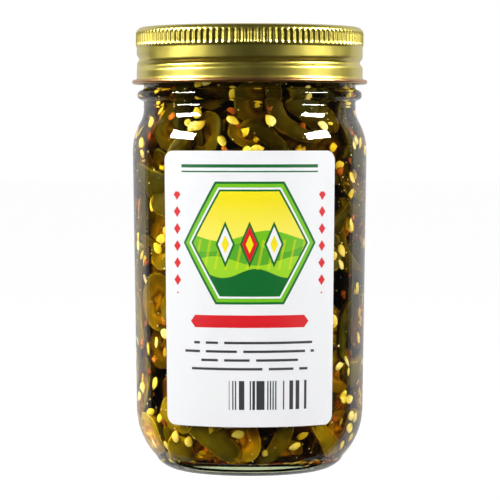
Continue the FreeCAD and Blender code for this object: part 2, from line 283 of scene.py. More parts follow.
class Shader:
    """The node tree of a material or of the world."""

    def __init__(self, holder):
        holder.use_nodes = True
        self.holder = holder
        self.tree = holder.node_tree
        self.tree.nodes.clear()

    def node(self, kind, settings=None, inputs=None):
        """A node of this kind: its settings are made first, then its sockets are filled."""
        made = self.tree.nodes.new(kind)
        for name, value in (settings or {}).items():
            if name == "stops":
                self.fill_ramp(made.color_ramp, value)
            else:
                setattr(made, name, value)
        for key, value in (inputs or {}).items():
            self.feed(made.inputs[key], value)
        return made

    def fill_ramp(self, ramp, stops):
        """Sets a colour ramp's stops, given as (place, colour)."""
        while len(ramp.elements) < len(stops):
            ramp.elements.new(1.0)
        for element, (place, colour) in zip(ramp.elements, stops):
            element.position = place
            element.color = (*colour, 1.0)

    def feed(self, socket, value):
        """Links a socket to a value or a socket, or sets it to a number or a colour."""
        if isinstance(value, Value):
            self.tree.links.new(value.socket, socket)
        elif isinstance(value, bpy.types.NodeSocket):
            self.tree.links.new(value, socket)
        elif socket.type == "RGBA" and len(value) == 3:
            socket.default_value = (*value, 1.0)
        else:
            socket.default_value = value

    def axes(self, vector):
        """The three numbers of a vector."""
        parts = self.node("ShaderNodeSeparateXYZ", inputs={0: vector}).outputs
        return [Value(self, part) for part in parts]

    def place(self):
        """Object coordinates."""
        return self.node("ShaderNodeTexCoord").outputs["Object"]

    def attribute(self, name):
        """A number stored at the points of the mesh."""
        made = self.node("ShaderNodeAttribute", {"attribute_name": name})
        return Value(self, made.outputs["Fac"])

    def noise(self, scale, detail):
        """Noise from 0 to 1, with features of 1 / scale metres."""
        inputs = {"Vector": self.place(), "Scale": scale, "Detail": detail}
        made = self.node("ShaderNodeTexNoise", inputs=inputs)
        return Value(self, made.outputs["Fac"])

    def random(self, across, up=None):
        """A random number from 0 to 1 for each whole number across, or across and up."""
        settings, inputs = {"noise_dimensions": "1D"}, {"W": across}
        if up is not None:
            spot = self.node("ShaderNodeCombineXYZ", inputs={0: across, 1: up}).outputs[0]
            settings, inputs = {"noise_dimensions": "2D"}, {"Vector": spot}
        made = self.node("ShaderNodeTexWhiteNoise", settings, inputs)
        return Value(self, made.outputs["Value"])

    def colours(self, factor, stops):
        """The colour of a ramp at a factor."""
        return self.node("ShaderNodeValToRGB", {"stops": stops}, {0: factor}).outputs["Color"]

    def mix(self, factor, low, high, blend="MIX"):
        """Colour low where the factor is 0 and high where it is 1."""
        settings = {"data_type": "RGBA", "blend_type": blend}
        return self.node("ShaderNodeMix", settings, {0: factor, 6: low, 7: high}).outputs[2]

    def tinted(self, colour, tint):
        """A colour multiplied by another."""
        return self.mix(1.0, colour, tint, "MULTIPLY")

    def bump(self, height, distance, strength):
        """A normal raised by a height, in metres where the height is 1."""
        inputs = {"Height": height, "Distance": distance, "Strength": strength}
        return self.node("ShaderNodeBump", inputs=inputs).outputs["Normal"]

    def principled(self, **inputs):
        """A Principled BSDF; an underscore in a name stands for a space."""
        named = {name.replace("_", " "): value for name, value in inputs.items()}
        return self.node("ShaderNodeBsdfPrincipled", inputs=named).outputs[0]

    def blend(self, factor, low, high):
        """Shader low where the factor is 0 and high where it is 1."""
        return self.node("ShaderNodeMixShader", inputs={0: factor, 1: low, 2: high}).outputs[0]

    def ray(self, name):
        """One of the outputs of Light Path."""
        return Value(self, self.node("ShaderNodeLightPath").outputs[name])

    def finish(self, surface, volume=None):
        """Links the output and gives back the material."""
        inputs = {"Surface": surface}
        if volume is not None:
            inputs["Volume"] = volume
        self.node("ShaderNodeOutputMaterial", inputs=inputs)
        return self.holder


def new_shader(name):
    """The empty shader of a new material."""
    return Shader(bpy.data.materials.new(name))


def clear_material(name, tint, ior, absorbed, density):
    """A clear solid that lets the lamps' light through to what it holds."""
    s = new_shader(name)
    body = s.principled(Base_Color=tint, Roughness=0.0, IOR=ior, Transmission_Weight=1.0)
    lit = s.node("ShaderNodeBsdfTransparent", inputs={"Color": tint}).outputs[0]
    inputs = {"Color": absorbed, "Density": density}
    volume = s.node("ShaderNodeVolumeAbsorption", inputs=inputs).outputs[0]
    return s.finish(s.blend(s.ray("Is Shadow Ray"), body, lit), volume)


def glass_material(tint):
    """Clear glass that turns green where it is thick."""
    return clear_material("clear_glass", tint, 1.5, (0.52, 0.79, 0.15), 10.0)


def syrup_material(tint, density):
    """Syrup, coloured only by its depth."""
    return clear_material("amber_syrup", (1.0, 1.0, 1.0), 1.40, tint, density)


def lid_material(gold, copper):
    """Satin gold lacquer, with the bare copper-coloured edge of the curl."""
    s = new_shader("gold_tinplate")
    x, y, z = s.axes(s.place())
    reach = (x * x + y * y) ** 0.5
    curl = (reach > SKIRT_R + 0.12 * MM) * (z < CURL_Z + 1.3 * CURL_R)
    mottle = s.noise(260.0, 3.0)
    worn = s.mix(mottle.ramp(0.3, 0.7), gold, [0.95 * c for c in gold])
    surface = s.principled(
        Base_Color=s.mix(curl, worn, copper), Metallic=1.0,
        Roughness=mottle.ramp(0.2, 0.8, 0.30, 0.36),
        Coat_Weight=0.6, Coat_Roughness=0.22, Coat_IOR=1.9,
    )
    return s.finish(surface)


def painted_light_by_height(s):
    """Painted light and shade by height: the contents are painted pale and amber low in the jar,
    where the floor lights them, and dark near the top, in the lid's shade.
    """
    _, _, z = s.axes(s.place())
    # painted light low in the jar, painted shade towards the top
    return s.colours(z * (1 / FILL_Z), [
        (0.00, (1.00, 0.88, 0.70)),
        (0.15, (0.92, 0.82, 0.60)),
        (0.34, (0.40, 0.37, 0.34)),
        (0.72, (0.25, 0.23, 0.22)),
        (1.00, (0.13, 0.12, 0.12)),
    ])


def slice_material():
    """Candied chilli: dark skin, a painted highlight along the cut edge, olive flesh and a pale
    middle.
    """
    s = new_shader("candied_flesh")
    flesh, tone = s.attribute("flesh"), s.attribute("tone")
    vein = s.noise(420.0, 3.0)
    place = flesh + (vein - 0.5) * 0.16
    colours_with_edge_highlight = s.colours(place, [
        (0.00, (0.150, 0.124, 0.006)),
        (0.07, (0.180, 0.146, 0.006)),
        # painted highlight: the bright line where the cut edge catches light
        (0.12, (0.700, 0.540, 0.045)),
        (0.19, (0.270, 0.215, 0.009)),
        (0.48, (0.340, 0.250, 0.009)),
        (0.64, (0.640, 0.430, 0.024)),
        (0.80, (0.240, 0.130, 0.008)),
        (1.00, (0.900, 0.560, 0.040)),
    ])
    shade = s.mix(tone.ramp(0.0, 1.0), (0.45, 0.48, 0.50), (1.20, 1.08, 1.00))
    patchy = s.mix(s.noise(170.0, 2.0).ramp(0.35, 0.7), (0.72, 0.76, 0.7), (1.12, 1.08, 1.0))
    surface = s.principled(
        # the base colour takes the painted light and shade by height
        Base_Color=s.tinted(s.tinted(s.tinted(colours_with_edge_highlight, shade), patchy), painted_light_by_height(s)),
        Roughness=vein.ramp(0.3, 0.8, 0.22, 0.4),
        Specular_IOR_Level=0.03,
        Normal=s.bump(s.noise(1500.0, 3.0), 0.12 * MM, 0.6),
    )
    return s.finish(surface)


def seed_material():
    """Pale yellow seed with a darker rim and notch."""
    s = new_shader("pale_seed")
    rim, tone = s.attribute("flesh"), s.attribute("tone")
    base = s.mix(tone, (0.68, 0.52, 0.16), (0.80, 0.72, 0.47))
    worn = s.mix(s.noise(1100.0, 3.0).ramp(0.4, 0.75), base, (0.64, 0.46, 0.16))
    colour = s.mix(rim.ramp(0.55, 1.0), worn, (0.62, 0.38, 0.07))
    surface = s.principled(
        Base_Color=colour, Roughness=0.42, Specular_IOR_Level=0.06,
        Normal=s.bump(s.noise(2600.0, 2.0), 0.05 * MM, 0.5),
    )
    return s.finish(surface)


def flake_material():
    """Red, orange and brown bits of dried chilli."""
    s = new_shader("chilli_flake")
    tone = s.attribute("tone")
    base = s.colours(tone, [
        (0.0, (0.06, 0.012, 0.003)),
        (0.4, (0.20, 0.028, 0.004)),
        (0.7, (0.42, 0.060, 0.006)),
        (1.0, (0.60, 0.210, 0.015)),
    ])
    colour = s.mix(s.noise(1600.0, 2.0), base, (0.16, 0.04, 0.006))
    return s.finish(s.principled(Base_Color=colour, Roughness=0.45, Specular_IOR_Level=0.06))


def crumb_material():
    """Pale bits of garlic and spice."""
    s = new_shader("pale_crumb")
    tone = s.attribute("tone")
    colour = s.mix(tone, (0.55, 0.42, 0.10), (0.92, 0.84, 0.52))
    return s.finish(s.principled(Base_Color=colour, Roughness=0.5, Specular_IOR_Level=0.3))


def core_material():
    """The middle of the pack, painted dark as shade where little light gets."""
    s = new_shader("painted_shade_middle")
    lump = s.noise(160.0, 3.0)
    # painted shade: the near-black colours stand in for the shade deep in the pack
    colour = s.mix(lump.ramp(0.35, 0.7), (0.016, 0.008, 0.0008), (0.150, 0.100, 0.006))
    surface = s.principled(
        # painted light and shade by height on the middle too
        Base_Color=s.tinted(colour, painted_light_by_height(s)), Roughness=0.6, Specular_IOR_Level=0.03,
        Normal=s.bump(lump, 1.5 * MM, 0.8),
    )
    return s.finish(surface)


# ---------------- profiles


def arc(centre, radius, low, high, steps):
    """Points of an arc about centre, from angle low to angle high."""
    points = []
    for i in range(steps + 1):
        angle = low + (high - low) * i / steps
        points.append((centre[0] + radius * math.cos(angle), centre[1] + radius * math.sin(angle)))
    return points


def side_arcs(offset, neck, sweep, low_angle):
    """Heel, body and shoulder up into a neck, offset outwards."""
    heel = (BODY_R - BODY_TAPER - HEEL_R, HEEL_Z)
    shoulder = (BODY_R - SHOULDER_R, SHOULDER_Z)
    heel_r, shoulder_r = HEEL_R + offset, SHOULDER_R + offset
    run = (shoulder[0] - heel[0], shoulder[1] - heel[1])
    side = math.asin((heel_r - shoulder_r) / math.hypot(*run)) - math.atan2(*run)
    across = neck + sweep - shoulder[0]
    up = math.sqrt((shoulder_r + sweep) ** 2 - across**2)
    bend = (neck + sweep, shoulder[1] + up)
    turn = math.atan2(up, across)
    points = arc(heel, heel_r, low_angle, side, 20)
    body_top = arc(shoulder, shoulder_r, side, turn, 14)
    points += between(points[-1], body_top[0], 24)
    points += body_top
    return points + arc(bend, sweep, math.pi + turn, math.pi, 12)[1:]


def between(start, end, steps):
    """Points strictly between two, evenly spaced."""
    shares = range(1, steps)
    return [tuple(a + (b - a) * i / steps for a, b in zip(start, end)) for i in shares]


def dome(edge_r, edge_z, rise, steps):
    """A shallow arc from the axis out to a circle of edge_r."""
    radius = (edge_r**2 + rise**2) / (2 * rise)
    low = math.acos(edge_r / radius)
    points = arc((0, edge_z + rise - radius), radius, math.pi / 2, low, steps)
    return [(0.0, edge_z + rise)] + points[1:]


def outside_profile():
    """Outside of the glass from the axis under the base to the top of the neck bend."""
    foot = (BEARING_OUT, FOOT_SECTION_R)
    foot_top = math.asin((FOOT_TOP - foot[1]) / FOOT_SECTION_R)
    heel_low = math.asin((FOOT_TOP + FOOT_SEAM - HEEL_Z) / HEEL_R)
    points = dome(BEARING_IN, 0, PUSH_UP, 6)
    points += arc(foot, FOOT_SECTION_R, -math.pi / 2, foot_top, 8)
    return points + side_arcs(0, NECK_R, NECK_SWEEP_R, heel_low)


def inside_profile(offset=0.0):
    """Inside of the glass from the axis at the floor to the top of the neck bend."""
    heel_x, heel_r = BODY_R - BODY_TAPER - HEEL_R, HEEL_R - WALL
    fillet_z = FLOOR_Z + FLOOR_FILLET
    reach = heel_r - FLOOR_FILLET
    fillet = (heel_x + math.sqrt(reach**2 - (HEEL_Z - fillet_z) ** 2), fillet_z)
    heel_low = math.atan2(fillet[1] - HEEL_Z, fillet[0] - heel_x)
    points = dome(fillet[0], FLOOR_Z - offset, FLOOR_RISE, 8)
    points += arc(fillet, FLOOR_FILLET + offset, -math.pi / 2, heel_low, 6)[1:-1]
    return points + side_arcs(offset - WALL, MOUTH_R + offset, MOUTH_SWEEP_R, heel_low)


def bead_profile(start):
    """From the height start over the parting line and the neck bead with its two fillets."""
    radius = (PARTING_HALF**2 + PARTING_OUT**2) / (2 * PARTING_OUT)
    middle = start + PARTING_GAP + PARTING_HALF
    tilt = math.asin(PARTING_HALF / radius)
    ridge = arc((NECK_R + PARTING_OUT - radius, middle), radius, -tilt, tilt, 6)
    across = BEAD_FILLET - BEAD_OUT
    reach = math.sqrt((BEAD_R + BEAD_FILLET) ** 2 - across**2)
    turn = math.atan2(reach, across)
    below = (NECK_R + BEAD_FILLET, BEAD_Z - reach)
    above = (NECK_R + BEAD_FILLET, BEAD_Z + reach)
    points = ridge + arc(below, BEAD_FILLET, math.pi, math.pi - turn, 5)
    points += arc((NECK_R + BEAD_OUT, BEAD_Z), BEAD_R, -turn, turn, 14)[1:-1]
    return points + arc(above, BEAD_FILLET, math.pi + turn, math.pi, 5)


def rim_profile():
    """Over the rounded rim, from the outside to the inside."""
    outer = (NECK_R - RIM_ROUND, RIM_Z - RIM_ROUND)
    inner = (MOUTH_R + RIM_ROUND, RIM_Z - RIM_ROUND)
    return arc(outer, RIM_ROUND, 0, math.pi / 2, 4) + arc(inner, RIM_ROUND, math.pi / 2, math.pi, 4)


# ---------------- meshes


def spun(points, steps):
    """A new bmesh: a chain of (radius, height) points turned about Z."""
    bm = bmesh.new()
    chain = [bm.verts.new((r, 0.0, z)) for r, z in points]
    edges = [bm.edges.new(pair) for pair in zip(chain, chain[1:])]
    bmesh.ops.spin(
        bm, geom=chain + edges, cent=(0, 0, 0), axis=(0, 0, 1), dvec=(0, 0, 0),
        angle=TURN, steps=steps, use_merge=True, use_normal_flip=False, use_duplicate=False,
    )
    bmesh.ops.remove_doubles(bm, verts=bm.verts, dist=1e-6)
    bmesh.ops.recalc_face_normals(bm, faces=bm.faces)
    return bm


def mesh_from(bm, name):
    """Stores a bmesh as a mesh and frees it."""
    mesh = bpy.data.meshes.new(name)
    bm.to_mesh(mesh)
    bm.free()
    return mesh


def add_object(name, data):
    """An object in the scene that holds a mesh, a lamp or a camera."""
    made = bpy.data.objects.new(name, data)
    bpy.context.scene.collection.objects.link(made)
    return made


def add_piece(name, bm, material, replaced=(), sharp=None):
    """Makes a bmesh a piece of the jar. sharp is the angle past which an edge stays crisp."""
    mesh = mesh_from(bm, name)
    mesh.shade_smooth()
    if sharp is not None:
        mesh.set_sharp_from_angle(angle=math.radians(sharp))
    mesh.materials.append(material)
    piece = add_object(name, mesh)
    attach(piece, BODY)
    if replaced:
        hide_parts(*replaced)


def groove_depth(degrees, height):
    """Depth of the lid's rolled thread, 0 to 1, at an angle round from the front."""
    depth = 0.0
    for turn in (-360, 0, 360):
        along = degrees + turn
        centre = GROOVE_Z + GROOVE_PITCH * along / 360
        reach = (height - centre) / GROOVE_HALF
        inside = min(along - GROOVE_START, GROOVE_END - along) / GROOVE_FADE
        if abs(reach) < 1 and inside > 0:
            share = min(1.0, inside)
            ease = share * share * (3 - 2 * share)
            depth = max(depth, ease * math.cos(reach * math.pi / 2) ** 2)
    return depth


def flute_depth(turn_share, height):
    """Depth of the flutes, 0 to 1, at a share of one flute's pitch and a height."""
    across = abs(turn_share % 1.0 - 0.5) * 2
    if not FLUTE_LOW < height < FLUTE_HIGH:
        return 0.0
    nearest_end = min(height - FLUTE_LOW, FLUTE_HIGH - height) / (0.45 * FLUTE_PITCH)
    end = 1.0 if nearest_end >= 1 else math.sqrt(1 - (1 - nearest_end) ** 2)
    width = 0.78 * end
    if across >= width:
        return 0.0
    return end * math.cos(across / width * math.pi / 2) ** 0.8


def lid_profile():
    """The lid's closed section, outside first: panel, corner, skirt, curl and back inside."""
    top = LID_TOP
    corner = (KNURL_R - LID_CORNER_R, top - LID_CORNER_R)
    slope_out = PANEL_R + PANEL_SLOPE
    curl = (CURL_OUT_R - CURL_R, CURL_Z)
    points = [(0.0, top - PANEL_DROP), (PANEL_R, top - PANEL_DROP)]
    points += [(PANEL_R + 0.3 * PANEL_SLOPE, top - 0.8 * PANEL_DROP)]
    points += [(PANEL_R + 0.7 * PANEL_SLOPE, top - 0.2 * PANEL_DROP), (slope_out, top)]
    points += arc(corner, LID_CORNER_R, math.pi / 2, 0, 8)
    points += between(points[-1], (KNURL_R, KNURL_LOW), 12)
    points += [(KNURL_R, KNURL_LOW), (SKIRT_R, KNURL_LOW - KNURL_STEP)]
    skirt_end = (SKIRT_R, CURL_Z + 1.8 * CURL_R)
    points += between(points[-1], skirt_end, 26) + [skirt_end]
    points += [(SKIRT_R + 0.15 * CURL_R, CURL_Z + 1.2 * CURL_R)]
    points += arc(curl, CURL_R, math.pi / 2, -math.pi / 2, 8)
    inner = SKIRT_R - LID_WALL
    points += [(inner, CURL_Z - 0.6 * CURL_R)]
    points += between(points[-1], (inner, KNURL_LOW - KNURL_STEP), 26)
    points += [(inner, KNURL_LOW - KNURL_STEP), (inner, top - 1.5 * LID_CORNER_R / 2)]
    points += [(inner - 0.8 * MM, top - LID_WALL), (slope_out, top - LID_WALL)]
    points += [(PANEL_R, top - LID_WALL - PANEL_DROP), (0.0, top - LID_WALL - PANEL_DROP)]
    return points


def press_lid(bm, flutes):
    """Presses the flutes and the rolled thread into the spun lid."""
    outside = SKIRT_R - 0.5 * LID_WALL
    for vert in bm.verts:
        reach = math.hypot(vert.co.x, vert.co.y)
        if reach < outside - LID_WALL:
            continue
        degrees = math.degrees(math.atan2(vert.co.x, -vert.co.y))
        dent = GROOVE_DEPTH * groove_depth(degrees, vert.co.z)
        if reach > outside:
            dent += FLUTE_DEPTH * flute_depth(degrees / 360 * flutes, vert.co.z)
        vert.co.xy *= (reach - dent) / reach


class JAR_OT_glass(bpy.types.Operator):
    """Builds the turned glass jar"""

    bl_idname = "jar.glass"
    bl_label = "Glass"

    def execute(self, context):
        settings = context.scene.jar
        points = outside_profile()
        points += bead_profile(points[-1][1]) + rim_profile()
        points += reversed(inside_profile())
        bm = spun(points, settings.round_steps)
        add_piece("jar_glass", bm, glass_material(settings.glass_tint), ["jar"], 40)
        return {"FINISHED"}


class JAR_OT_lid(bpy.types.Operator):
    """Builds the gold screw lid"""

    bl_idname = "jar.lid"
    bl_label = "Lid"

    def execute(self, context):
        settings = context.scene.jar
        flutes = round(TURN * KNURL_R / FLUTE_PITCH)
        bm = spun(lid_profile(), flutes * 8)
        press_lid(bm, flutes)
        material = lid_material(settings.lid_gold, settings.curl_copper)
        add_piece("gold_lid", bm, material, ["lid"], 50)
        return {"FINISHED"}


# ---------------- label


def wall_radius(height):
    """Outside radius of the glass at a height above the foot."""
    points = outside_profile()
    pairs = zip(points, points[1:])
    low, high = next(pair for pair in pairs if pair[0][1] <= height <= pair[1][1])
    share = (height - low[1]) / (high[1] - low[1])
    return low[0] + share * (high[0] - low[0])


def wave(value, pace, start):
    """A sine of a shader value."""
    return (value * pace + start).sine()


def picture(s, x, up):
    """Three lozenges before rolling fields under a yellow sky."""
    sky = s.mix((up * (1 / 26.0) + 0.5).least(1.0), (0.98, 0.93, 0.25), YELLOW)
    colour = s.mix(up > 2.2 + wave(x, 0.21, 0.4) * 1.6, LEAF, sky)
    for height, pace, start, paint in RIDGES:
        colour = s.mix(up < height + wave(x, pace, start) * 1.4, colour, paint)
    furrow = wave(x * 1.9 - up * 0.4, 1.0, 0.0) > 0.72
    colour = s.mix(furrow * (up < 1.0) * (up > -8.0) * 0.35, colour, YELLOW)
    for offset, paint in LOZENGES:
        reach = abs(x - offset) * (1 / 3.0) + abs(up + 0.4) * (1 / 7.0)
        for size, shade in ((1.0, GREEN), (0.78, paint), (0.40, YELLOW)):
            colour = s.mix(reach < size, colour, shade)
    return colour


def word_bars(s, x, y):
    """Rows of short plain bars, where a label has its small print."""
    rows = (y - WORDS_LOW) * (1 / WORD_PITCH)
    row = rows.floor()
    in_row = rows.fraction() * WORD_PITCH < 0.75
    inked = s.random((x * (1 / (0.75 * WORD_PITCH))).floor(), row) > 0.22
    half = (s.random(row) * 0.35 + 0.65) * 22.0
    return in_row * inked * (abs(x) < half) * (y < WORDS_HIGH) * (y > WORDS_LOW)


def paper_material():
    """Semi-gloss white paper with a plain printed pattern."""
    s = new_shader("printed_paper")
    u, v, _ = s.axes(s.node("ShaderNodeUVMap", {"uv_map": "print"}).outputs[0])
    x = (u - 0.5) * (2 * LABEL_HALF_ANGLE * BODY_R / MM)
    y = (v - 0.5) * ((LABEL_HIGH - LABEL_LOW) / MM)
    up = y - WINDOW_UP
    window = (abs(x) * 0.87 + abs(up) * 0.5).most(abs(up))
    bead = abs((y * (1 / BEAD_PITCH)).fraction() - 0.5)
    beads = abs(abs(x) - BEAD_COLUMN) * (1 / 1.3) + bead * (BEAD_PITCH / 1.7) < 1.0
    rules = ((abs(y - 37.3) < 0.5) + (abs(y - 35.6) < 0.22)) * (abs(x) < 22.0)
    from_ribbon = abs(y + RIBBON_DOWN)
    ribbon = (from_ribbon < 1.9) * (abs(x) < 19.0 - from_ribbon * 0.8)
    ticks = s.random((x * (1 / TICK_WIDTH)).floor()) > 0.48
    tick_block = (abs(x - 6.0) < 12.5) * (abs(y + 32.2) < 4.4)
    colour = WHITE
    layers = [(window < size, paint) for size, paint in WINDOW_FRAMES]
    layers += [
        (window < PICTURE_SIZE, picture(s, x, up)),
        (beads * (abs(up) < 15.5), RED),
        (rules.least(1.0), GREEN),
        (ribbon, RED),
        (word_bars(s, x, y), INK),
        (tick_block * ticks, INK),
    ]
    for mask, paint in layers:
        colour = s.mix(mask, colour, paint)
    surface = s.principled(
        Base_Color=colour, Roughness=0.36, Specular_IOR_Level=0.35,
        Normal=s.bump(s.noise(2500.0, 3.0), 0.01 * MM, 0.25),
    )
    return s.finish(surface)


class JAR_OT_label(bpy.types.Operator):
    """Builds the paper label wrapped round the front"""

    bl_idname = "jar.label"
    bl_label = "Label"

    def execute(self, context):
        thick = context.scene.jar.paper_thick
        half = LABEL_HALF_ANGLE * BODY_R
        bm = bmesh.new()
        corners = [(-half, LABEL_LOW), (half, LABEL_LOW), (half, LABEL_HIGH), (-half, LABEL_HIGH)]
        sheet = bm.faces.new([bm.verts.new((x, 0.0, z)) for x, z in corners])
        bmesh.ops.bevel(
            bm, geom=list(sheet.verts), offset=LABEL_CORNER_R, offset_type="OFFSET",
            segments=10, profile=0.5, affect="VERTICES", material=-1,
        )
        for i in range(1, LABEL_COLUMNS):
            cut_sheet(bm, (half * (2 * i / LABEL_COLUMNS - 1), 0, 0), (1, 0, 0))
        for i in range(1, LABEL_ROWS):
            height = LABEL_LOW + (LABEL_HIGH - LABEL_LOW) * i / LABEL_ROWS
            cut_sheet(bm, (0, 0, height), (0, 0, 1))
        layer = bm.loops.layers.uv.new("print")
        for face in bm.faces:
            for loop in face.loops:
                place = loop.vert.co
                across = place.x / (2 * half) + 0.5
                up = (place.z - LABEL_LOW) / (LABEL_HIGH - LABEL_LOW)
                loop[layer].uv = (across, up)
        wrap_sheet(bm, thick)
        add_piece("paper_label", bm, paper_material(), ["label"], 40)
        return {"FINISHED"}


def cut_sheet(bm, place, normal):
    """Adds a line of edges across the flat sheet."""
    geometry = bm.verts[:] + bm.edges[:] + bm.faces[:]
    bmesh.ops.bisect_plane(bm, geom=geometry, dist=1e-7, plane_co=place, plane_no=normal)


def wrap_sheet(bm, thick):
    """Gives the flat sheet its thickness and wraps it round the glass."""
    made = bmesh.ops.extrude_face_region(bm, geom=bm.faces[:])
    raised = {item for item in made["geom"] if isinstance(item, bmesh.types.BMVert)}
    for vert in bm.verts:
        lift = thick if vert in raised else 0.0
        angle = vert.co.x / BODY_R
        radius = wall_radius(vert.co.z) + lift
        vert.co.x = radius * math.sin(angle)
        vert.co.y = -radius * math.cos(angle)
    bmesh.ops.recalc_face_normals(bm, faces=bm.faces)


# ---------------- preserve


class WallPath:
    """The inside of the glass, followed by length from the floor's edge up to the fill."""

    def __init__(self):
        points = [p for p in inside_profile() if p[0] > 0.7 * MOUTH_R]
        points.append((MOUTH_R, FILL_Z))
        self.stops = [0.0]
        for low, high in zip(points, points[1:]):
            self.stops.append(self.stops[-1] + math.dist(low, high))
        self.points = points
        self.length = self.stops[-1]

    def at(self, along):
        """Point and inward normal at a length along the wall."""
        along = min(max(along, 0.0), self.length)
        index = 1
        while index < len(self.stops) - 1 and self.stops[index] < along:
            index += 1
        low, high = self.points[index - 1], self.points[index]
        span = self.stops[index] - self.stops[index - 1]
        share = (along - self.stops[index - 1]) / span
        radius = low[0] + share * (high[0] - low[0])
        height = low[1] + share * (high[1] - low[1])
        tangent = Vector((high[0] - low[0], high[1] - low[1])).normalized()
        return radius, height, Vector((-tangent.y, tangent.x))

    def bend(self, along, turn, flat):
        """Carries a flat point (across, up, depth) on to the wall at a place."""
        radius, height, inward = self.at(along + flat.y)
        middle = self.at(along)[0]
        angle = turn + flat.x / max(middle, 0.5 * MOUTH_R)
        reach = max(radius + inward.x * flat.z, 0.0)
        up = height + inward.y * flat.z
        return Vector((reach * math.sin(angle), -reach * math.cos(angle), up))


def blank():
    """An empty bmesh with the two numbers at each point that the materials read."""
    bm = bmesh.new()
    bm.verts.layers.float.new("flesh")
    bm.verts.layers.float.new("tone")
    return bm


def noise_spot(rng):
    """Where in the noise a piece is read, so that no two are alike."""
    return Vector([rng.uniform(-9, 9) for _ in range(3)])


def slice_kind(rng, radius, thick, lobes):
    """A chilli ring on the XY plane, its cut face up, with cavities round a middle."""
    bm = blank()
    bmesh.ops.create_cone(
        bm, cap_ends=True, cap_tris=False, segments=26,
        radius1=radius, radius2=radius, depth=thick,
    )
    rings = [0.93, 0.80, 0.60, 0.50, 0.28, 0.10]
    for up in (1, -1):
        cap = max(bm.faces, key=lambda face: up * face.calc_center_median().z)
        size = 1.0
        for ring in rings if up > 0 else rings[:3]:
            bmesh.ops.inset_region(
                bm, faces=[cap], thickness=(size - ring) * radius, use_even_offset=True,
            )
            size = ring
    rim = [
        edge for edge in bm.edges
        if all(math.hypot(*v.co.xy) > 0.98 * radius for v in edge.verts)
        and abs(edge.verts[0].co.z - edge.verts[1].co.z) < 1e-7
    ]
    bmesh.ops.bevel(
        bm, geom=rim, offset=0.16 * thick, offset_type="OFFSET", segments=2, profile=0.5,
        affect="EDGES", material=-1,
    )
    flesh = bm.verts.layers.float["flesh"]
    phases = [rng.uniform(0, TURN) for _ in range(4)]
    spot = noise_spot(rng)
    warp = rng.uniform(0.2, 0.9) * MM
    for vert in bm.verts:
        share = math.hypot(*vert.co.xy) / radius
        angle = math.atan2(vert.co.y, vert.co.x)
        vert[flesh] = skin_share(share, vert.co.z / thick)
        outline = 1 + 0.05 * math.cos(2 * angle + phases[0])
        outline += 0.035 * math.cos(lobes * angle + phases[1])
        outline += 0.02 * math.cos(5 * angle + phases[2])
        sink = cavity(share, angle * lobes / 2 + phases[3]) * thick
        vert.co.z += sink * math.copysign(1, vert.co.z)
        vert.co.x *= outline
        vert.co.y *= outline
        vert.co.z += noise.noise(vert.co * (0.35 / MM) + spot) * 0.28 * MM
        vert.co.z += warp * share**2 * math.cos(2 * angle + phases[1])
    return mesh_from(bm, "slice_kind")


def strip_kind(rng):
    """A curved strip of chilli on the XY plane, its skin up, with a cut edge on each side."""
    bm = blank()
    bmesh.ops.create_cube(bm, size=2.0)
    bmesh.ops.subdivide_edges(bm, edges=bm.edges[:], cuts=9, use_grid_fill=True)
    flesh = bm.verts.layers.float["flesh"]
    long, wide = rng.uniform(8.0, 12.5) * MM, rng.uniform(2.4, 4.4) * MM
    thick = rng.uniform(1.2, 1.8) * MM
    bow = rng.uniform(0.12, 0.5)
    roll = Matrix.Rotation(rng.uniform(-0.55, 0.55), 3, "X")
    spot = noise_spot(rng)
    for vert in bm.verts:
        u, v, w = vert.co
        edge = max(abs(v), abs(u) ** 2)
        if w > 0.9:
            # 0.12 on the strip's cut edges gives the painted highlight line of the slice colours
            vert[flesh] = 0.12 if edge > 0.98 else 0.03
        else:
            vert[flesh] = 0.12 + 0.35 * (0.9 - w) / 1.9
        across = v * wide * (1 - 0.5 * abs(u) ** 5)
        through = w * thick * (1 - 0.3 * abs(v) ** 3) * (1 - 0.35 * abs(u) ** 4)
        bent = roll @ Vector((0, across, through - 0.35 * thick * v * v))
        vert.co = Vector((u * long, bent.y + bow * long * (u * u - 0.4), bent.z))
        vert.co.y += noise.noise(vert.co * (0.12 / MM) + spot) * 1.2 * MM
        vert.co.z += noise.noise(vert.co * (0.3 / MM) - spot) * 0.35 * MM
    return mesh_from(bm, "strip_kind")


def seed_kind(rng):
    """A flat seed with a blunt point and a shallow notch, on the XY plane."""
    bm = blank()
    bmesh.ops.create_uvsphere(bm, u_segments=12, v_segments=7, radius=1.0)
    rim = bm.verts.layers.float["flesh"]
    long, wide = rng.uniform(1.7, 2.15) * MM, rng.uniform(1.4, 1.8) * MM
    point = rng.uniform(0.15, 0.4)
    for vert in bm.verts:
        angle = math.atan2(vert.co.y, vert.co.x)
        reach = math.hypot(*vert.co.xy)
        vert[rim] = max(0.0, math.cos(angle)) ** 6 * reach
        beak = point * max(0.0, math.cos(angle)) ** 7
        notch = 0.22 * max(0.0, math.cos(angle - 0.75)) ** 14
        vert.co.x *= long * (1 + beak - notch)
        vert.co.y *= wide * (1 - 0.5 * notch)
        vert.co.z *= 0.52 * MM * (1 - 0.25 * reach)
    return mesh_from(bm, "seed_kind")


def chip_kind(rng, flat, name):
    """A small ragged bit, one unit across."""
    bm = blank()
    bmesh.ops.create_icosphere(bm, subdivisions=2 if flat else 1, radius=0.5)
    spot = noise_spot(rng)
    for vert in bm.verts:
        vert.co *= 1 + 0.7 * noise.noise(vert.co * 2.2 + spot)
        if flat:
            vert.co.z *= 0.35
    return mesh_from(bm, name)


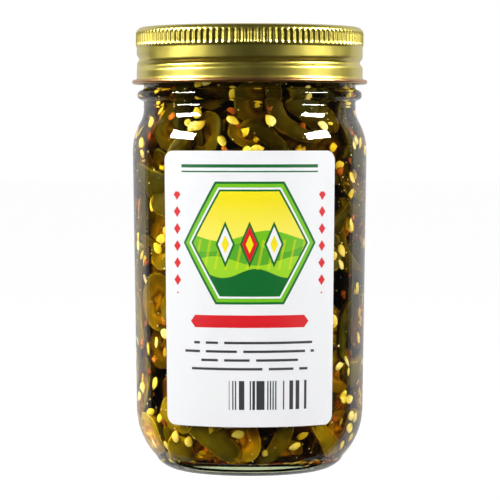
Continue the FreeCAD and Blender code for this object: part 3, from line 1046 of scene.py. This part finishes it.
def skin_share(share, height):
    """0 on the skin round a slice, rising to 1 at its middle."""
    if share > 0.985:
        return 0.0 if abs(height) < 0.4 else 0.06
    # the flesh starts at 0.12, where the slice colours paint a highlight along the cut edge
    return min(1.0, 0.12 + (1 - share) * 1.05)


def cavity(share, lobe_angle):
    """Depth of the hollows between the ribs of a slice, as a part of its thickness."""
    if share > 0.55:
        return 0.0
    open_part = 1 - abs(math.cos(lobe_angle)) ** 3
    ring = 1.0 if share > 0.2 else share / 0.2
    return -0.32 * open_part * ring


def copy_in(target, kind, place, tone):
    """Adds a copy of a kind's mesh, with each point carried by place."""
    first = len(target.verts)
    target.from_mesh(kind)
    layer = target.verts.layers.float["tone"]
    for vert in target.verts[first:]:
        vert.co = place(vert.co)
        vert[layer] = tone


class Packing:
    """Slices leaned against the glass and on each other, with what fills the gaps."""

    def __init__(self, rng, wall):
        self.rng = rng
        self.wall = wall
        self.placed = []

    def gap(self, along, turn, other):
        """Offset on the wall from a place to a placed slice, across and up."""
        across = (other.turn - turn + math.pi) % TURN - math.pi
        radius = self.wall.at(along)[0]
        return Vector((across * radius, other.along - along))

    def slope(self, steep):
        """A random lean, in depth for each length across and up."""
        return Vector((self.rng.uniform(-steep, steep), self.rng.uniform(-steep, steep)))

    def try_slice(self, radius, thick, tightness):
        """Leans a new slice on the ones it meets, unless there is no room."""
        rng = self.rng
        along = rng.uniform(0.4 * radius, self.wall.length - 0.3 * radius)
        turn = rng.uniform(-math.pi, math.pi)
        behind, lean = 0.0, Vector((0.0, 0.0))
        for other in self.placed:
            offset = self.gap(along, turn, other)
            near = offset.length / (radius + other.radius)
            if near < tightness:
                return
            if near < 0.96:
                behind = max(behind, other.depth + other.thick)
                lean += offset.normalized()
        if behind > DEEPEST_SLICE:
            return
        strength = min(1.0, lean.length)
        slope = lean.normalized() * behind * strength / (2 * radius) if strength > 0 else lean
        depth = 0.2 * MM + behind * (1 - 0.5 * strength)
        tilt = self.slope(0.5 if rng.random() < 0.4 else 0.08)
        slope += tilt
        depth += (tilt if behind else slope).length * radius * 0.9
        self.placed.append(SimpleNamespace(
            along=along, turn=turn, radius=radius, thick=thick, depth=depth, slope=slope,
            front=behind < 0.5 * MM, strip=False,
        ))

    def try_strip(self):
        """Lays a strip against the glass, unless another is too near."""
        along = self.rng.uniform(0.5 * STRIP_R, self.wall.length - 0.5 * STRIP_R)
        turn = self.rng.uniform(-math.pi, math.pi)
        if any(self.gap(along, turn, other).length < 1.5 * STRIP_R for other in self.placed):
            return
        slope = self.slope(0.12)
        self.placed.append(SimpleNamespace(
            along=along, turn=turn, radius=0.8 * STRIP_R, thick=3.2 * MM,
            depth=0.2 * MM + slope.length * STRIP_R, slope=slope, front=True, strip=True,
        ))

    def open_spot(self):
        """A place on the wall that no front slice covers."""
        for _ in range(60):
            along = self.rng.uniform(1.0 * MM, self.wall.length - 2 * MM)
            turn = self.rng.uniform(-math.pi, math.pi)
            clear = all(
                self.gap(along, turn, other).length > 0.93 * other.radius
                for other in self.placed if other.front
            )
            if clear:
                break
        return along, turn

    def slice_place(self, item, scale=1.0, squash=1.0):
        """A function that lays a slice, its cut face to the glass, as it was packed."""
        spin = self.rng.uniform(0, TURN)

        def place(co):
            sized = Vector((co.x * scale, co.y * scale, co.z * squash))
            x = sized.x * math.cos(spin) - sized.y * math.sin(spin)
            y = sized.x * math.sin(spin) + sized.y * math.cos(spin)
            depth = item.depth + item.thick / 2 - sized.z + item.slope.x * x + item.slope.y * y
            return self.wall.bend(item.along, item.turn, Vector((x, y, max(depth, 0.05 * MM))))

        return place

    def loose_place(self, along, turn, depth, size=1.0, tilt=0.5):
        """A function that lays a small kind at a place on the wall, turned at random."""
        spin = Matrix.Rotation(self.rng.uniform(0, TURN), 3, "Z")
        lean = Matrix.Rotation(self.rng.uniform(-tilt, tilt), 3, "X")
        lean = lean @ Matrix.Rotation(self.rng.uniform(-tilt, tilt), 3, "Y")
        matrix = lean @ spin

        def place(co):
            flat = matrix @ (co * size)
            return self.wall.bend(along, turn, flat + Vector((0, 0, depth)))

        return place

    def add(self, target, kinds, place):
        """Adds one of the kinds to a bmesh where place puts it, with its own tone."""
        copy_in(target, self.rng.choice(kinds), place, self.rng.random())

    def strew(self, target, kinds, number, every, floor_band, nearest, spread, sizes=None):
        """Fills open spots with small things; each one in so many lies in a band at the floor."""
        rng = self.rng
        for index in range(number):
            along, turn = self.open_spot()
            if index % every == 0:
                along = rng.uniform(*floor_band) * MM
            depth = nearest + abs(rng.gauss(0, spread)) * MM
            size = rng.uniform(*sizes) * MM if sizes else 1.0
            self.add(target, kinds, self.loose_place(along, turn, depth, size))

    def seed_cavity(self, seeds, kinds, item):
        """Lays a few seeds in the middle of a slice."""
        rng = self.rng
        for _ in range(rng.choice((0, 1, 1, 2, 2, 3, 4))):
            angle, reach = rng.uniform(0, TURN), rng.uniform(0.1, 0.48) * item.radius
            x, y = reach * math.cos(angle), reach * math.sin(angle)
            depth = item.depth + item.slope.x * x + item.slope.y * y
            depth = max(depth + rng.uniform(-0.1, 0.9) * MM, 0.55 * MM)
            turn = item.turn + x / self.wall.at(item.along)[0]
            self.add(seeds, kinds, self.loose_place(item.along + y, turn, depth))


class JAR_OT_syrup(bpy.types.Operator):
    """Fills the jar with syrup, and with the middle of the pack, painted dark as shade"""

    bl_idname = "jar.syrup"
    bl_label = "Syrup"

    def execute(self, context):
        settings = context.scene.preserve
        points = inside_profile(INTO_WALL)
        top_r = MOUTH_R + INTO_WALL
        points += between(points[-1], (top_r, FILL_Z), 6)
        points += [(top_r, FILL_Z), (0.0, FILL_Z)]
        bm = spun(points, context.scene.jar.round_steps)
        material = syrup_material(settings.syrup_tint, settings.syrup_density)
        add_piece("syrup", bm, material, ["preserve"], 40)

        low, high = FLOOR_Z + 5 * MM, FILL_Z - 4 * MM
        points = [(r - CORE_DEPTH, z) for r, z in inside_profile() if r > CORE_DEPTH and z > low]
        bm = spun([(0.0, low), *points, (MOUTH_R - CORE_DEPTH, high), (0.0, high)], 64)
        for vert in bm.verts:
            swell = noise.noise(vert.co * (0.12 / MM)) * 2.5 * MM
            vert.co.xy *= 1 + swell / max(math.hypot(*vert.co.xy), 6 * MM)
        add_piece("painted_shade_middle", bm, core_material())
        return {"FINISHED"}


class JAR_OT_chillies(bpy.types.Operator):
    """Packs the slices, seeds, flakes and crumbs against the glass"""

    bl_idname = "jar.chillies"
    bl_label = "Chillies"

    def execute(self, context):
        settings = context.scene.preserve
        rng = random.Random(11)
        packing = Packing(rng, WallPath())
        kinds = pack_slices(settings, rng, packing)
        strip_kinds = [strip_kind(rng) for _ in range(9)]
        seed_kinds = [seed_kind(rng) for _ in range(5)]
        slices, strips, seeds, flakes, crumbs = (blank() for _ in range(5))
        for item in packing.placed:
            if item.strip:
                packing.add(strips, strip_kinds, packing.slice_place(item))
                continue
            kind = rng.choice(kinds)
            scale, squash = item.radius / KIND_R, item.thick / settings.slice_thick
            place = packing.slice_place(item, scale, squash)
            copy_in(slices, kind, place, rng.random())
            packing.seed_cavity(seeds, seed_kinds, item)
        packing.strew(
            seeds, seed_kinds, settings.loose_seeds, every=12, floor_band=(0.6, 3.0),
            nearest=0.55 * MM, spread=1.2,
        )
        flake_kinds = [chip_kind(rng, True, "flake_kind") for _ in range(5)]
        crumb_kinds = [chip_kind(rng, False, "crumb_kind") for _ in range(4)]
        packing.strew(
            flakes, flake_kinds, settings.flakes, every=5, floor_band=(0.4, 2.6),
            nearest=0.6 * MM, spread=1.5, sizes=(1.2, 3.4),
        )
        neck_spot = packing.loose_place(
            0.93 * packing.wall.length, -0.09, 0.7 * MM, size=3.4 * MM, tilt=0.1,
        )
        copy_in(flakes, flake_kinds[0], neck_spot, 0.72)
        for _ in range(settings.crumbs):
            along = rng.uniform(0, packing.wall.length)
            depth = rng.uniform(0.1, 0.5) * MM
            size = rng.uniform(0.25, 0.8) * MM
            place = packing.loose_place(along, rng.uniform(0, TURN), depth, size, tilt=1.0)
            packing.add(crumbs, crumb_kinds, place)
        flesh = slice_material()
        add_piece("chilli_slices", slices, flesh)
        add_piece("chilli_strips", strips, flesh)
        add_piece("chilli_seeds", seeds, seed_material())
        add_piece("chilli_flakes", flakes, flake_material())
        add_piece("pale_crumbs", crumbs, crumb_material())
        return {"FINISHED"}


def pack_slices(settings, rng, packing):
    """Lays the strips, then the slices in rounds, each packed tighter. Gives the slices' kinds."""
    thick = settings.slice_thick
    kinds = [slice_kind(rng, KIND_R, thick, rng.choice((2, 3, 3, 4))) for _ in range(12)]
    for _ in range(STRIP_TRIES):
        if len(packing.placed) < settings.strips:
            packing.try_strip()
    for tightness in (0.62, 0.50, 0.38):
        for _ in range(SLICE_TRIES):
            if len(packing.placed) < settings.slices:
                radius = settings.slice_r * rng.uniform(0.72, 1.3)
                packing.try_slice(radius, thick * rng.uniform(0.75, 1.15), tightness)
    return kinds


# ---------------- stage


def add_lamp(name, azimuth, elevation, power, size, mirrored):
    """A softbox aimed at the jar. Azimuth is degrees round from the front towards +X.

    A mirrored lamp shows as highlights, and the others light what is matt.
    """
    azimuth, elevation = math.radians(azimuth), math.radians(elevation)
    data = bpy.data.lights.new(name, "AREA")
    data.shape = "RECTANGLE"
    data.size, data.size_y = size
    data.energy = power
    lamp = add_object(name, data)
    flat = LAMP_DISTANCE * math.cos(elevation)
    up = LAMP_DISTANCE * math.sin(elevation)
    place = Vector((flat * math.sin(azimuth), -flat * math.cos(azimuth), up))
    lamp.location = place + LAMP_TARGET
    lamp.rotation_euler = place.to_track_quat("Z", "Y").to_euler()
    lamp.visible_transmission = False
    lamp.visible_glossy = mirrored
    lamp.visible_diffuse = not mirrored


def world_light():
    """White behind the jar, dark in front, and white wherever the camera looks past it.

    Light that has passed the glass after a matt surface finds white below the horizon.
    """
    s = Shader(bpy.data.worlds.new("studio"))
    x, y, z = s.axes(s.node("ShaderNodeTexCoord").outputs["Generated"])
    edge = 0.58 - (x > 0.0) * 0.03
    through = s.ray("Is Transmission Ray") * y.ramp(0.80, 0.97) * 0.4
    backdrop = (y > edge) * (0.585 + through) + 0.015
    seen = s.ray("Is Camera Ray")
    strength = seen + (1 - seen) * backdrop
    inner = s.ray("Is Transmission Ray") * (s.ray("Diffuse Depth") > 0.5)
    strength = strength * (1 - inner) + inner * (z < 0.0)
    light = s.node("ShaderNodeBackground", inputs={"Color": (1, 1, 1), "Strength": strength})
    s.node("ShaderNodeOutputWorld", inputs={"Surface": light.outputs[0]})
    bpy.context.scene.world = s.holder


def floor_material():
    """A floor that looks white to the camera and keeps a faint shadow."""
    s = new_shader("white_floor")
    plain = s.node("ShaderNodeBsdfDiffuse", inputs={"Color": (0.80, 0.80, 0.80)}).outputs[0]
    bright = s.node("ShaderNodeEmission", inputs={"Strength": 1.21}).outputs[0]
    return s.finish(s.blend(s.ray("Is Camera Ray") * 0.8, plain, bright))


class JAR_OT_stage(bpy.types.Operator):
    """Sets the floor, the lamps, the backdrop light and the camera"""

    bl_idname = "jar.stage"
    bl_label = "Stage"

    def execute(self, context):
        scene = context.scene
        settings = scene.stage
        scene.view_settings.view_transform = "Standard"
        bm = bmesh.new()
        bmesh.ops.create_grid(bm, x_segments=1, y_segments=1, size=6.0)
        floor = add_object("floor", mesh_from(bm, "floor"))
        floor.data.materials.append(floor_material())
        floor.visible_glossy = False
        floor.visible_transmission = False
        small, large = (0.44, 0.17), (0.6, 0.3)
        add_lamp("left_softbox", -73, 25, settings.gleam_power * 1.08, small, True)
        add_lamp("right_softbox", 75, 25, settings.gleam_power * 0.92, small, True)
        add_lamp("left_key", -60, 7, settings.key_power * 1.05, large, False)
        add_lamp("right_key", 60, 7, settings.key_power * 0.95, large, False)
        world_light()
        camera = add_object("camera", bpy.data.cameras.new("camera"))
        camera.data.lens = settings.lens
        camera.data.sensor_width = 36
        camera.location = (0.0001, -settings.camera_distance, settings.camera_height)
        camera.rotation_euler = (math.pi / 2 - settings.camera_pitch, 0, 0)
        scene.camera = camera
        return {"FINISHED"}


# ---------------- add-on


OPERATORS = (
    JAR_OT_glass,
    JAR_OT_lid,
    JAR_OT_label,
    JAR_OT_syrup,
    JAR_OT_chillies,
    JAR_OT_stage,
)


class JAR_PT_panel(bpy.types.Panel):
    """Lists the steps that build the jar"""

    bl_idname = "JAR_PT_panel"
    bl_label = "Candied chilli jar"
    bl_space_type = "VIEW_3D"
    bl_region_type = "UI"
    bl_category = "Jar"

    def draw(self, context):
        for operator in OPERATORS:
            self.layout.operator(operator.bl_idname)
        for group in (context.scene.jar, context.scene.preserve, context.scene.stage):
            box = self.layout.box()
            for name in group.__annotations__:
                box.prop(group, name)


CLASSES = (JarSettings, PreserveSettings, StageSettings, *OPERATORS, JAR_PT_panel)


def register():
    for item in CLASSES:
        bpy.utils.register_class(item)
    bpy.types.Scene.jar = bpy.props.PointerProperty(type=JarSettings)
    bpy.types.Scene.preserve = bpy.props.PointerProperty(type=PreserveSettings)
    bpy.types.Scene.stage = bpy.props.PointerProperty(type=StageSettings)


def unregister():
    del bpy.types.Scene.stage
    del bpy.types.Scene.preserve
    del bpy.types.Scene.jar
    for item in reversed(CLASSES):
        bpy.utils.unregister_class(item)


def main():
    register()
    bpy.ops.jar.glass()
    bpy.ops.jar.lid()
    bpy.ops.jar.label()
    bpy.ops.jar.syrup()
    bpy.ops.jar.chillies()
    bpy.ops.jar.stage()


if __name__ == "__main__":
    main()
